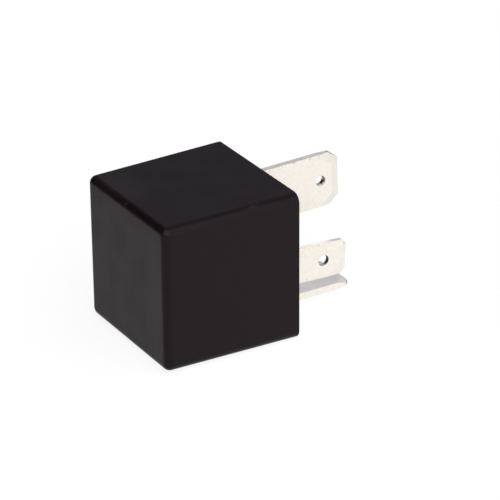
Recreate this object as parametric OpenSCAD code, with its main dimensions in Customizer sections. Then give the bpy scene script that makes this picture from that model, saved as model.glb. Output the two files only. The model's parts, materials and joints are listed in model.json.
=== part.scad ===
// Closed plug-in power relay: a moulded cap over a coil, a hinged armature and one make contact,
// with four flat blades through its base. All lengths are in millimetres.
//
// The relay is built upright. z = 0 is the rim of the cap, where the relay seats on its socket,
// +z runs up to the closed end and the blades hang below. x runs from blade 87 to blade 30, and
// y from blade 85 to blade 86. laid_down() then turns it onto its side, with the blades along +X.

/* [Cap] */
// Width of the cap at its rim, from the blade 87 side to the blade 30 side
cap_w = 26; // [26:0.5:30]
// Depth of the cap at its rim, from the blade 85 side to the blade 86 side
cap_d = 26; // [25:0.5:30]
// Height of the cap, rim to closed end
cap_h = 24.6; // [23:0.2:32]
// Thickness of the cap's side walls
cap_wall = 0.8; // [0.6:0.1:0.8]
// Thickness of the cap's closed end
cap_end_wall = 0.9; // [0.7:0.1:1.4]
// Mould draft of each side wall, degrees
cap_draft = 0.86; // [0:0.1:1.2]
// Radius of the four long edges at the rim
rim_corner_r = 1.6; // [1.4:0.1:2.2]
// Radius of the four long edges at the closed end
end_corner_r = 1.43; // [1.35:0.01:2]
// Radius around the closed end
end_edge_r = 1.27; // [0.8:0.01:1.3]
// Height of the undrafted band at the rim
rim_band = 0.4; // [0.2:0.1:1]

/* [Base] */
// Thickness of the base
base_t = 2.6; // [2.2:0.1:3.2]
// How far the base's underside lies inside the rim
base_recess = 0.8; // [0.7:0.1:1.2]
// Gap between the base and the cap's wall
base_fit = 0.12; // [0.08:0.02:0.2]
// Corner radius of the base
base_corner_r = 1; // [0.9:0.1:1.4]
// Width of the glue step around the base's lower edge
glue_step_w = 0.9; // [0.6:0.1:1.2]
// Height of the glue step
glue_step_h = 0.9; // [0.6:0.1:1.4]
// Gap left between the sealing ring and the cap's wall
seal_fit = 0.02; // [0.01:0.01:0.05]
// How far the sealing ring stands proud of the base's underside
seal_proud = 0.2; // [0.1:0.05:0.4]
// Gap around each blade in its slot
slot_fit = 0.05; // [0.02:0.01:0.1]
// Wall of the collar around each blade on the underside
collar_wall = 0.7; // [0.5:0.1:0.9]
// Height of those collars
collar_h = 0.5; // [0.3:0.1:0.6]
// Depth of the core-out pockets in the underside
pocket_depth = 0.9; // [0.5:0.1:1.3]
// Height of the two ribs that hold the yoke's foot between them
foot_rib_h = 1.4; // [0.8:0.1:1.8]
// Thickness of those ribs
foot_rib_t = 0.6; // [0.4:0.1:0.7]
// Length of those ribs
foot_rib_len = 3; // [2:0.5:4]
// Gap between each rib and the yoke
foot_fit = 0.1; // [0.05:0.05:0.2]

/* [Load blades 30 and 87] */
// Width of a load blade
load_w = 9.5; // [9:0.1:9.6]
// Thickness of a load blade
load_t = 1.2; // [1:0.1:1.3]
// Length of blade 30 below the seating plane
blade_30_len = 15.4; // [12:0.2:18]
// Length of blade 87 below the seating plane
blade_87_len = 15.1; // [12:0.1:18]
// Centre of blade 30 from the cap's face beside it
blade_30_in = 5.7; // [5.7:0.05:6]
// Gap between the top of blade 30 and the yoke's foot
blade_30_gap = 0.2; // [0.1:0.05:0.4]
// Centre plane of blade 87 from the cap's face beside it
blade_87_in = 2.75; // [2.6:0.05:2.95]
// Diameter of the catch hole in a load blade
load_hole_d = 1.8; // [1.4:0.1:2.4]
// Centre of that hole from the blade's tip
load_hole_tip = 3.5; // [3:0.1:6]
// Corner chamfer at the tip of blade 30, along the blade
corner_30_len = 1.6; // [0.8:0.1:2.2]
// Corner chamfer at the tip of blade 30, across the blade
corner_30_w = 1.3; // [0.8:0.1:2]
// Corner chamfer at the tip of blade 87
corner_87 = 0.7; // [0.5:0.1:1.5]
// How far blade 30 leans outwards in its own plane below the rim, degrees
blade_30_lean = 1.7; // [0:0.1:2]

/* [Coil blades 85 and 86] */
// Width of a coil blade
coil_blade_w = 6.3; // [6:0.1:6.4]
// Thickness of a coil blade
coil_blade_t = 0.8; // [0.7:0.1:1]
// Length of a coil blade below the seating plane
coil_blade_len = 11.6; // [9:0.2:15]
// Distance between the two coil blades
coil_blade_pitch = 16.8; // [16.6:0.1:17.2]
// Centre of the coil blades, from the relay's axis towards blade 87
coil_blade_x = 2.05; // [1.9:0.05:2.3]
// Diameter of the catch hole in a coil blade
coil_hole_d = 1.9; // [1.3:0.1:2]
// Centre of that hole from the blade's tip
coil_hole_tip = 4.3; // [3:0.1:5]
// Corner chamfer at the tip of a coil blade
coil_corner = 0.9; // [0.8:0.1:1.6]
// How far the coil blades lean towards blade 87 below the rim, degrees
coil_blade_lean = 2.4; // [0:0.1:3]
// Width of the post that takes the coil wire
post_w = 2; // [1.4:0.1:2.6]
// How far the post stands above the wire
post_over = 0.7; // [0.4:0.1:1.2]
// Height of the arm that takes the resistor's lead
arm_h = 1.7; // [1.4:0.1:1.9]
// How far that arm reaches past the resistor's lead
arm_over = 0.7; // [0.5:0.1:1]

/* [Blade tips] */
// Width of the bevel on both faces, along a blade's tip and its corners
tip_bevel = 1.3; // [0.8:0.1:2]
// Thickness that the bevel leaves at the tip, as a share of the blade's
tip_share = 0.5; // [0.35:0.05:0.7]
// Radius where a corner's chamfer meets the edges
corner_round = 0.6; // [0.2:0.1:0.8]

/* [Magnet] */
// Gap between the yoke's back and the cap's wall
yoke_back_gap = 2.4; // [2.2:0.05:2.5]
// Diameter of the core
core_d = 6.4; // [5.6:0.1:6.8]
// Diameter of the core's pole plate
pole_d = 8.8; // [8:0.2:9.2]
// Thickness of the pole plate
pole_t = 1.8; // [1.4:0.1:2]
// Diameter of the core's foot, staked in the yoke
core_foot_d = 5; // [4:0.2:5.4]
// Gap of every rivet or staked foot in its hole
stake_fit = 0.01; // [0.01:0.005:0.03]
// Thickness of the yoke
yoke_t = 2; // [1.9:0.1:2.2]
// Width of the yoke
yoke_w = 14; // [13.4:0.1:14]
// Inner radius of the yoke's bend
yoke_bend_r = 0.4; // [0.2:0.1:0.6]
// How far the yoke's foot reaches past the core's centre
yoke_foot_reach = 5.6; // [4.5:0.1:5.6]
// Height of the two ears beside the armature's heel
ear_h = 1.2; // [0.8:0.1:1.4]
// Gap between the armature and each ear
ear_gap = 0.15; // [0.1:0.05:0.3]

/* [Coil] */
// Outer diameter of the bobbin's barrel
barrel_d = 8.2; // [8:0.1:9]
// Gap between the core and the bobbin's bore
bore_fit = 0.05; // [0.03:0.01:0.1]
// Gap between the bobbin's flanges and the riser of blade 87
flange_riser_gap = 1.75; // [1.65:0.05:2]
// How far the flanges stand out past the yoke's edges
flange_side = 0.1; // [0.05:0.05:0.2]
// Thickness of the flanges
flange_t = 1; // [0.8:0.1:1.1]
// Corner radius of the flanges
flange_r = 1.2; // [0.8:0.1:2]
// Gap between the flanges and the yoke
flange_gap = 0.7; // [0.4:0.1:0.8]
// How far the winding stays inside the flanges
winding_inset = 0.5; // [0.4:0.1:1]
// Thickness of the tape around the winding
tape_t = 0.12; // [0.08:0.02:0.2]
// Bare winding below the tape, where the wire leaves
tape_margin = 1.8; // [1.6:0.1:2.4]
// Bare winding above the tape
tape_top_margin = 0.2; // [0.1:0.05:0.4]
// Diameter of the coil wire's ends
wire_d = 0.36; // [0.28:0.02:0.44]
// Height of the coil wire above the lower flange where it leaves the winding
wire_rise = 0.6; // [0.4:0.1:1]
// How far the wire's end stands out past its post
wire_over = 0.5; // [0.3:0.1:0.8]
// Gap between the wire and the winding's last turn
wire_gap = 0.02; // [0.01:0.01:0.05]
// Gap around a wire in its notch
wire_fit = 0.05; // [0.03:0.01:0.08]

/* [Resistor] */
// Diameter of the resistor's body
resistor_d = 1.6; // [1.2:0.1:1.7]
// Length of the resistor's body
resistor_len = 5.2; // [4:0.2:7]
// Radius of the resistor's rounded ends
resistor_end_r = 0.4; // [0.2:0.1:0.5]
// Diameter of the resistor's leads
resistor_lead_d = 0.5; // [0.4:0.05:0.6]
// Gap between the resistor and the base
resistor_lift = 0.1; // [0.05:0.05:0.15]
// Gap between a lead's end and the blade that it is welded to
weld_gap = 0.02; // [0.01:0.01:0.05]

/* [Armature and contacts] */
// How far the armature opens, degrees
lift = 3.2; // [2.4:0.1:3.6]
// Thickness of the armature
armature_t = 1.5; // [1.2:0.1:1.7]
// Width of the armature
armature_w = 10; // [9.6:0.1:10.1]
// How far the armature's heel lies inside the yoke's back
heel_inset = 1.2; // [1:0.05:1.4]
// How far the armature reaches past the pole plate
armature_over = 0.6; // [0.4:0.05:0.8]
// Corner chamfer at the armature's free end
armature_corner = 1; // [0.5:0.1:1.5]
// Thickness of the contact spring
spring_t = 0.3; // [0.2:0.02:0.36]
// Width of the contact spring
spring_w = 8.4; // [7.6:0.1:8.8]
// Width of the window in the spring's bend
spring_window_w = 2.8; // [2:0.1:3.6]
// Width of the spring at the contact
spring_nose_w = 5.2; // [4.6:0.1:6]
// Length of the spring's leg along the yoke
spring_leg = 9.6; // [8.4:0.1:10]
// How far the spring's window runs down the leg and along the arm, past the armature's heel
spring_window_over = 0.6; // [0.4:0.1:1]
// Where the spring begins to narrow, before the armature's free end
spring_taper = 2.5; // [2:0.1:3]
// Diameter of the contact faces
contact_d = 3.8; // [3:0.1:4.2]
// Thickness of each contact face
contact_t = 0.8; // [0.7:0.05:0.9]
// Gap between the armature's free end and the moving contact
contact_gap_x = 0.3; // [0.2:0.05:0.4]
// Gap left between the two contacts when the armature is closed
contact_close_gap = 0.02; // [0.01:0.01:0.05]
// Diameter of a contact's shank
contact_shank_d = 1.8; // [1.4:0.1:2]
// Diameter of a contact's peened tail
contact_tail_d = 2.5; // [2.2:0.1:2.8]
// Height of a contact's peened tail
contact_tail_t = 0.3; // [0.2:0.05:0.3]
// Width of the riser of blade 87 inside the cap
riser_w = 8.2; // [7:0.1:9]
// Inner radius of the bend at the riser's top
riser_bend_r = 0.3; // [0.2:0.05:0.5]
// How far blade 87's ledge reaches past the contact's edge
ledge_over = 0.1; // [0:0.05:0.2]

/* [Rivets] */
// Shank diameter of the rivets
rivet_d = 1.6; // [1.2:0.1:1.8]
// Head diameter of the rivets
rivet_head_d = 2.8; // [2.4:0.1:3]
// Head height of the rivets
rivet_head_t = 0.5; // [0.3:0.05:0.6]
// Distance between the two rivets of a pair
rivet_pitch = 5; // [4.2:0.1:5]
// Metal left between a rivet's head and the edge beside it
rivet_edge = 0.4; // [0.3:0.05:0.6]
// Centre of the armature's rivets from its heel
arm_rivet_in = 4.4; // [4:0.1:5]
// Height of the flag on blade 30 above the base
flag_h = 5.6; // [5:0.1:5.6]
// How far the flag reaches from the centre plane of blade 30
flag_reach = 5.4; // [4.6:0.1:6]

/* [Stop] */
// Width of the stop bar over the armature's free end
stop_w = 1.2; // [1:0.1:1.3]
// Gap between the stop bar and the pole plate, seen from above
stop_pole_gap = 0.05; // [0.02:0.01:0.1]
// Thickness of the stop bar
stop_t = 1.2; // [0.9:0.1:1.4]
// Gap between the open spring and the stop bar
stop_gap = 0.03; // [0.02:0.01:0.06]
// Gap between the armature and the posts of the stop
stop_post_gap = 0.4; // [0.3:0.05:0.5]
// Thickness of those posts
stop_post_t = 1.3; // [1:0.1:1.4]
// Gap between the stop bar and the cap's closed end
head_gap = 0.4; // [0.3:0.05:0.8]

/* [Drawing] */
// The sub-part to draw

/* [Hidden] */
$fn = 48;
// How far a cutter runs past what it cuts, and how far two shapes of one piece run into each other
cut = 0.5;
lap = 0.1;

// Cap and base
cap_inner_w = cap_w - 2 * cap_wall;
cap_inner_d = cap_d - 2 * cap_wall;
cap_inner_top = cap_h - cap_end_wall;
base_w = cap_inner_w - 2 * base_fit;
base_d = cap_inner_d - 2 * base_fit;
base_top = base_recess + base_t;
seal_top = base_recess + glue_step_h;

// Blades
x30 = cap_w / 2 - blade_30_in;
x87 = blade_87_in - cap_w / 2;
x85 = -coil_blade_x;
y85 = coil_blade_pitch / 2;

// Magnet, between the riser of blade 87 and the cap's wall
foot_top = base_top + yoke_t;
yoke_out = cap_inner_w / 2 - yoke_back_gap;
yoke_in = yoke_out - yoke_t;
flange_high_x = yoke_in - flange_gap;
flange_low_x = x87 + load_t / 2 + flange_riser_gap;
flange_w = flange_high_x - flange_low_x;
flange_d = yoke_w + 2 * flange_side;
winding_d = min(flange_w, flange_d) - 2 * winding_inset;
xcore = (flange_low_x + flange_high_x) / 2;

// Armature, worked out closed and then opened by lift about its heel
heel_x = yoke_out - heel_inset;
stop_x = xcore - pole_d / 2 - stop_pole_gap - stop_w / 2;
stop_rise = (heel_x - stop_x + stop_w / 2) * sin(lift) + (armature_t + spring_t) * cos(lift);
yoke_top = cap_inner_top - head_gap - stop_t - stop_gap - stop_rise;
stop_bottom = yoke_top + stop_rise + stop_gap;
armature_top = yoke_top + armature_t;
armature_end = xcore - pole_d / 2 - armature_over;
contact_x = armature_end - contact_gap_x - contact_d / 2;
spring_top = armature_top + spring_t;
spring_bend_r = (heel_inset - armature_t * sin(lift)) / (1 - sin(lift));
spring_bend_z = yoke_top + armature_t * cos(lift) - spring_bend_r * cos(lift);
leg_bottom = yoke_top - spring_leg;
leg_rivet_z = leg_bottom + rivet_head_d / 2 + rivet_edge;
arm_rivet_x = heel_x - arm_rivet_in;
flag_rivet_y = flag_reach - rivet_head_d / 2 - rivet_edge;
flag_rivet_z = base_top + flag_h - rivet_head_d / 2 - rivet_edge;

// Coil
top_flange = yoke_top - pole_t - flange_t;
winding_low = foot_top + flange_t;
tape_low = winding_low + tape_margin;
tape_h = top_flange - tape_top_margin - tape_low;
wire_z = winding_low + wire_rise;

// Contacts
fixed_top = armature_top - contact_t - contact_close_gap;
ledge_top = fixed_top - contact_t;
ledge_end = contact_x + contact_d / 2 + ledge_over;
riser_bend_out = riser_bend_r + load_t;

// Resistor, between the yoke's foot and the riser of blade 87
resistor_x = (x87 + load_t / 2 + xcore - yoke_foot_reach) / 2;
resistor_z = base_top + resistor_lift + resistor_d / 2;
lead_end_y = y85 - coil_blade_t / 2 - weld_gap;

module laid_down() {
    rotate([0, -90, 0])
        children();
}

// A plate with round corners, centred in x and y and standing on z = 0
module round_plate(w, d, h, r) {
    linear_extrude(h) {
        square([w - 2 * r, d], center = true);
        square([w, d - 2 * r], center = true);
        for (sx = [-1, 1], sy = [-1, 1])
            translate([sx * (w / 2 - r), sy * (d / 2 - r)])
                circle(r);
    }
}

module block(x, y, z) {
    translate([x[0], y[0], z[0]])
        cube([x[1] - x[0], y[1] - y[0], z[1] - z[0]]);
}

// A strip bent about the y axis, from angle start (0 is +x, 90 is +z) through sweep
module bent_strip(r_in, t, w, start, sweep) {
    rotate([0, -start, 0])
        rotate([90, 0, 0])
            rotate_extrude(angle = sweep)
                translate([r_in, -w / 2])
                    square([t, w]);
}

// A rod along x
module rod_x(d, x) {
    translate([x[0], 0, 0])
        rotate([0, 90, 0])
            cylinder(d = d, h = x[1] - x[0]);
}

// A rod along y
module rod_y(d, y) {
    translate([0, y[0], 0])
        rotate([-90, 0, 0])
            cylinder(d = d, h = y[1] - y[0]);
}

// What moves with the armature is drawn closed and opened here
module opened() {
    translate([heel_x, 0, yoke_top])
        rotate([0, lift, 0])
            translate([-heel_x, 0, -yoke_top])
                children();
}

// ---- Housing ----

module cap_outside() {
    drop = tan(cap_draft) * (cap_h - end_edge_r);
    hull() {
        round_plate(cap_w, cap_d, rim_band, rim_corner_r);
        for (sx = [-1, 1], sy = [-1, 1])
            translate([sx * (cap_w / 2 - drop - end_corner_r),
                       sy * (cap_d / 2 - drop - end_corner_r), cap_h - end_edge_r])
                rotate_extrude()
                    translate([end_corner_r - end_edge_r, 0])
                        intersection() {
                            circle(end_edge_r);
                            translate([0, -end_edge_r])
                                square([end_edge_r, 2 * end_edge_r]);
                        }
    }
}

module cap_inside() {
    drop = tan(cap_draft) * cap_inner_top;
    inner_r = rim_corner_r - cap_wall;
    hull() {
        translate([0, 0, -cut])
            round_plate(cap_inner_w, cap_inner_d, cut, inner_r, $fn = 32);
        translate([0, 0, cap_inner_top - cut])
            round_plate(cap_inner_w - 2 * drop, cap_inner_d - 2 * drop, cut, inner_r, $fn = 32);
    }
}

module cap() {
    color("#262324")
        laid_down()
            difference() {
                cap_outside();
                cap_inside();
            }
}

// The slots that the blades stand in. Blade 30 is pushed in from the base's edge.
module base_slots() {
    low = base_recess - collar_h - cut;
    high = base_top + cut;
    for (y = [-y85, y85])
        translate([x85, y, 0])
            block([-coil_blade_w / 2 - slot_fit, coil_blade_w / 2 + slot_fit],
                  [-coil_blade_t / 2 - slot_fit, coil_blade_t / 2 + slot_fit], [low, high]);
    block([x30 - load_w / 2 - slot_fit, cap_w / 2 + cut],
          [-load_t / 2 - slot_fit, load_t / 2 + slot_fit], [low, high]);
    block([x87 - load_t / 2 - slot_fit, x87 + load_t / 2 + slot_fit],
          [-load_w / 2 - slot_fit, load_w / 2 + slot_fit], [low, high]);
}

module collars() {
    inner_w = base_w - 2 * glue_step_w;
    inner_d = base_d - 2 * glue_step_w;
    grow = 2 * (slot_fit + collar_wall);
    translate([0, 0, base_recess - collar_h])
        intersection() {
            linear_extrude(collar_h + cut) {
                for (y = [-y85, y85])
                    translate([x85, y])
                        square([coil_blade_w + grow, coil_blade_t + grow], center = true);
                translate([x30, 0])
                    square([load_w + grow, load_t + grow], center = true);
                translate([x87, 0])
                    square([load_t + grow, load_w + grow], center = true);
            }
            round_plate(inner_w, inner_d, collar_h + cut, base_corner_r);
        }
}

// Core-out pockets in the underside, one in each corner between the blades
module pockets() {
    low_x = x85 + coil_blade_w / 2 + slot_fit + 2 * collar_wall;
    high_x = base_w / 2 - glue_step_w - 2 * collar_wall;
    low_y = load_t / 2 + slot_fit + 2 * collar_wall;
    high_y = base_d / 2 - glue_step_w - 2 * collar_wall;
    for (side = [-1, 1])
        translate([(low_x + high_x) / 2, side * (low_y + high_y) / 2, base_recess - cut])
            round_plate(high_x - low_x, high_y - low_y, pocket_depth + cut, base_corner_r);
}

module base() {
    rib_y = yoke_w / 2 + foot_fit + foot_rib_t / 2;
    color("#2b292a")
        laid_down()
            difference() {
                union() {
                    translate([0, 0, seal_top])
                        round_plate(base_w, base_d, base_top - seal_top, base_corner_r);
                    translate([0, 0, base_recess])
                        round_plate(base_w - 2 * glue_step_w, base_d - 2 * glue_step_w,
                                    glue_step_h + lap, base_corner_r);
                    collars();
                    for (side = [-1, 1])
                        translate([(yoke_in + foot_rib_len) / 2, side * rib_y, base_top - lap])
                            linear_extrude(foot_rib_h + lap)
                                square([foot_rib_len, foot_rib_t], center = true);
                }
                base_slots();
                pockets();
            }
}

module sealing_ring() {
    drop = 2 * tan(cap_draft) * seal_top + 2 * seal_fit;
    bottom = base_recess - seal_proud;
    color("#1b1a1c")
        laid_down()
            difference() {
                translate([0, 0, bottom])
                    round_plate(cap_inner_w - drop, cap_inner_d - drop, seal_top - bottom,
                                base_corner_r);
                translate([0, 0, bottom - cut])
                    round_plate(base_w - 2 * glue_step_w, base_d - 2 * glue_step_w,
                                seal_top - bottom + 2 * cut, base_corner_r);
                base_slots();
            }
}

// ---- Blades ----

// A point of a blade that leans towards +x by lean: s down its length and q across it
function lean_point(s, q, lean) = [q * cos(lean) + s * sin(lean), q * sin(lean) - s * cos(lean)];

function unit(v) = v / norm(v);

// A polygon's corner b, between its points a and c, as an arc of radius r
function round_corner(a, b, c, r) =
    let (u = unit(a - b), v = unit(c - b), half = acos(u * v) / 2,
         centre = b + unit(u + v) * r / sin(half),
         from = unit(b + u * r / tan(half) - centre), to = unit(b + v * r / tan(half) - centre),
         steps = 4)
    [for (i = [0:steps]) centre + r * unit(from * (1 - i / steps) + to * (i / steps))];

// The outline of a blade that hangs from z = top and leans below z = 0
function blade_outline(w, len, top, corner_len, corner_w, lean) =
    let (kink = w / 2 * tan(lean / 2),
         tip = [[-w / 2, -kink], lean_point(len - corner_len, -w / 2, lean),
                lean_point(len, corner_w - w / 2, lean), lean_point(len, w / 2 - corner_w, lean),
                lean_point(len - corner_len, w / 2, lean), [w / 2, kink]])
    concat([[-w / 2, top], tip[0]],
           [for (i = [1:4]) each round_corner(tip[i - 1], tip[i], tip[i + 1], corner_round)],
           [tip[5], [w / 2, top]]);

// A slab of thickness t that stands on z = 0 and is bevelled on both faces down to that edge
module bevelled_slab(t, size) {
    rotate([90, 0, 90])
        linear_extrude(2 * size, center = true)
            polygon([[-t / 2, size], [-t / 2, tip_bevel], [-t * tip_share / 2, 0],
                     [t * tip_share / 2, 0], [t / 2, tip_bevel], [t / 2, size]]);
}

// A blade in the xz plane, with chamfered corners and a bevelled tip. It leaves its slot square
// and leans below the rim.
module blade(w, t, len, top, hole_d, hole_tip, corner_len, corner_w, lean) {
    size = 2 * (len + top);
    chamfer_turn = atan2(corner_len, corner_w);
    hole = lean_point(len - hole_tip, 0, lean);
    difference() {
        intersection() {
            rotate([90, 0, 0])
                linear_extrude(2 * t, center = true)
                    polygon(blade_outline(w, len, top, corner_len, corner_w, lean));
            rotate([0, -lean, 0])
                intersection() {
                    translate([0, 0, -len])
                        bevelled_slab(t, size);
                    intersection_for(side = [-1, 1])
                        translate([side * (w - corner_w) / 2, 0, corner_len / 2 - len])
                            rotate([0, -side * chamfer_turn, 0])
                                bevelled_slab(t, size);
                }
        }
        translate([hole[0], 0, hole[1]])
            rod_y(hole_d, [-t, t]);
    }
}

module terminal_30() {
    color("#d8d3cc")
        laid_down()
            difference() {
                union() {
                    translate([x30, 0, 0])
                        blade(load_w, load_t, blade_30_len, base_top - blade_30_gap, load_hole_d,
                              load_hole_tip, corner_30_len, corner_30_w, blade_30_lean);
                    block([yoke_out, yoke_out + load_t], [-load_t / 2, load_t / 2],
                          [base_top - blade_30_gap - lap, base_top + lap]);
                    block([yoke_out, yoke_out + load_t], [-load_t / 2, flag_reach],
                          [base_top, base_top + flag_h]);
                }
                translate([0, flag_rivet_y, flag_rivet_z])
                    rod_x(rivet_d + 2 * stake_fit, [yoke_out - cut, yoke_out + load_t + cut]);
            }
}

module terminal_87() {
    axis_x = x87 - load_t / 2 + riser_bend_out;
    axis_z = ledge_top - riser_bend_out;
    color("#d8d3cc")
        laid_down()
            difference() {
                union() {
                    translate([x87, 0, 0])
                        rotate([0, 0, 90])
                            blade(load_w, load_t, blade_87_len, base_top, load_hole_d,
                                  load_hole_tip, corner_87, corner_87, 0);
                    block([x87 - load_t / 2, x87 + load_t / 2], [-riser_w / 2, riser_w / 2],
                          [base_top - lap, axis_z]);
                    translate([axis_x, 0, axis_z])
                        bent_strip(riser_bend_r, load_t, riser_w, 90, 90);
                    block([axis_x, ledge_end], [-riser_w / 2, riser_w / 2],
                          [ledge_top - load_t, ledge_top]);
                }
                translate([contact_x, 0, ledge_top - load_t - cut])
                    cylinder(d = contact_shank_d + 2 * stake_fit, h = load_t + 2 * cut);
            }
}

// A coil blade with its arm for the resistor and its notched post for the coil wire
module coil_terminal(side) {
    arm_low = resistor_x - resistor_lead_d / 2 - arm_over;
    color("#d8d3cc")
        laid_down()
            difference() {
                union() {
                    translate([x85, side * y85, 0])
                        blade(coil_blade_w, coil_blade_t, coil_blade_len, base_top + lap,
                              coil_hole_d, coil_hole_tip, coil_corner, coil_corner,
                              -coil_blade_lean);
                    translate([0, side * y85, 0]) {
                        block([arm_low, x85 + post_w / 2], [-coil_blade_t / 2, coil_blade_t / 2],
                              [base_top, base_top + arm_h]);
                        block([x85 - post_w / 2, x85 + post_w / 2],
                              [-coil_blade_t / 2, coil_blade_t / 2],
                              [base_top, wire_z + post_over]);
                    }
                }
                translate([x85, side * y85, wire_z])
                    rod_y(wire_d + 2 * wire_fit, [-coil_blade_t, coil_blade_t]);
                translate([x85, side * y85, wire_z])
                    block([-wire_d / 2 - wire_fit, wire_d / 2 + wire_fit],
                          [-coil_blade_t, coil_blade_t], [0, post_over + cut]);
            }
}

module terminal_85() {
    coil_terminal(-1);
}

module terminal_86() {
    coil_terminal(1);
}

// ---- Magnet ----

module yoke() {
    axis_x = yoke_in - yoke_bend_r;
    axis_z = foot_top + yoke_bend_r;
    ear_in = armature_w / 2 + ear_gap;
    color("#8f9296")
        laid_down()
            difference() {
                union() {
                    block([xcore - yoke_foot_reach, axis_x], [-yoke_w / 2, yoke_w / 2],
                          [base_top, foot_top]);
                    translate([axis_x, 0, axis_z])
                        bent_strip(yoke_bend_r, yoke_t, yoke_w, -90, 90);
                    block([yoke_in, yoke_out], [-yoke_w / 2, yoke_w / 2], [axis_z, yoke_top]);
                    for (side = [-1, 1])
                        scale([1, side, 1])
                            block([yoke_in, yoke_out], [ear_in, yoke_w / 2],
                                  [yoke_top - lap, yoke_top + ear_h]);
                }
                translate([xcore, 0, base_top - cut])
                    cylinder(d = core_foot_d + 2 * stake_fit, h = yoke_t + 2 * cut);
                translate([0, flag_rivet_y, flag_rivet_z])
                    rod_x(rivet_d + 2 * stake_fit, [yoke_in - cut, yoke_out + cut]);
                for (y = [-rivet_pitch / 2, rivet_pitch / 2])
                    translate([0, y, leg_rivet_z])
                        rod_x(rivet_d + 2 * stake_fit, [yoke_in - cut, yoke_out + cut]);
            }
}

module core() {
    color("#a3a5a8")
        laid_down()
            translate([xcore, 0, 0]) {
                translate([0, 0, base_top])
                    cylinder(d = core_foot_d, h = yoke_t + lap);
                translate([0, 0, foot_top])
                    cylinder(d = core_d, h = yoke_top - foot_top - lap);
                translate([0, 0, yoke_top - pole_t])
                    cylinder(d = pole_d, h = pole_t);
            }
}

// ---- Coil ----

module bobbin() {
    post_in = armature_w / 2 + stop_post_gap;
    post_out = post_in + stop_post_t;
    color("#d9d2bd")
        laid_down()
            difference() {
                union() {
                    translate([xcore, 0, foot_top])
                        cylinder(d = barrel_d, h = top_flange - foot_top);
                    translate([xcore, 0, foot_top])
                        round_plate(flange_w, flange_d, flange_t, flange_r);
                    translate([xcore, 0, top_flange])
                        round_plate(flange_w, flange_d, flange_t, flange_r);
                    for (side = [-1, 1])
                        scale([1, side, 1])
                            block([stop_x - stop_w / 2, stop_x + stop_w / 2],
                                  [post_in, post_out],
                                  [top_flange + lap, stop_bottom + stop_t]);
                    block([stop_x - stop_w / 2, stop_x + stop_w / 2], [-post_out, post_out],
                          [stop_bottom, stop_bottom + stop_t]);
                }
                translate([xcore, 0, foot_top - cut])
                    cylinder(d = core_d + 2 * bore_fit, h = top_flange + flange_t - foot_top + 2 * cut);
            }
}

module winding() {
    color("#a8562a")
        laid_down()
            translate([xcore, 0, winding_low])
                difference() {
                    cylinder(d = winding_d, h = top_flange - winding_low);
                    translate([0, 0, -cut])
                        cylinder(d = barrel_d, h = top_flange - winding_low + 2 * cut);
                }
}

module winding_tape() {
    color("#c9a94a")
        laid_down()
            translate([xcore, 0, tape_low])
                difference() {
                    cylinder(d = winding_d + 2 * tape_t, h = tape_h);
                    translate([0, 0, -cut])
                        cylinder(d = winding_d, h = tape_h + 2 * cut);
                }
}

// The coil wire's end, from the winding out through the notch of its post
module coil_lead(side) {
    off = abs(xcore - x85) - wire_d / 2;
    start_y = sqrt(winding_d * winding_d / 4 - off * off) + wire_gap;
    end_y = y85 + coil_blade_t / 2 + wire_over;
    color("#b4612f")
        laid_down()
            scale([1, side, 1])
                translate([x85, 0, wire_z])
                    rod_y(wire_d, [start_y, end_y]);
}

module coil_lead_85() {
    coil_lead(-1);
}

module coil_lead_86() {
    coil_lead(1);
}

// ---- Resistor across the coil ----

module resistor() {
    color("#5f8fb0")
        laid_down()
            translate([resistor_x, 0, resistor_z])
                rotate([90, 0, 0])
                    rotate_extrude() {
                        translate([0, -resistor_len / 2])
                            square([resistor_d / 2 - resistor_end_r, resistor_len]);
                        translate([0, resistor_end_r - resistor_len / 2])
                            square([resistor_d / 2, resistor_len - 2 * resistor_end_r]);
                        for (end = [-1, 1])
                            translate([resistor_d / 2 - resistor_end_r,
                                       end * (resistor_len / 2 - resistor_end_r)])
                                circle(resistor_end_r);
                    }
}

module resistor_leads() {
    color("#c8c9cb")
        laid_down()
            translate([resistor_x, 0, resistor_z])
                for (side = [-1, 1])
                    scale([1, side, 1])
                        rod_y(resistor_lead_d, [resistor_len / 2, lead_end_y]);
}

// ---- Armature, spring and contacts ----

module arm_rivet_places() {
    for (y = [-rivet_pitch / 2, rivet_pitch / 2])
        translate([arm_rivet_x, y, 0])
            children();
}

module armature() {
    color("#9a9da1")
        laid_down()
            opened()
                difference() {
                    translate([0, 0, yoke_top])
                        linear_extrude(armature_t)
                            polygon([[heel_x, -armature_w / 2], [heel_x, armature_w / 2],
                                     [armature_end + armature_corner, armature_w / 2],
                                     [armature_end, armature_w / 2 - armature_corner],
                                     [armature_end, armature_corner - armature_w / 2],
                                     [armature_end + armature_corner, -armature_w / 2]]);
                    arm_rivet_places()
                        translate([0, 0, yoke_top - cut])
                            cylinder(d = rivet_d + 2 * stake_fit, h = armature_t + 2 * cut);
                }
}

// Points round the spring's bend at radius r from the leg (turn 0) to the arm (turn 1)
function bend_point(r, turn) =
    [yoke_out - spring_bend_r + r * cos(turn * (90 - lift)),
     spring_bend_z + r * sin(turn * (90 - lift))];

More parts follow.
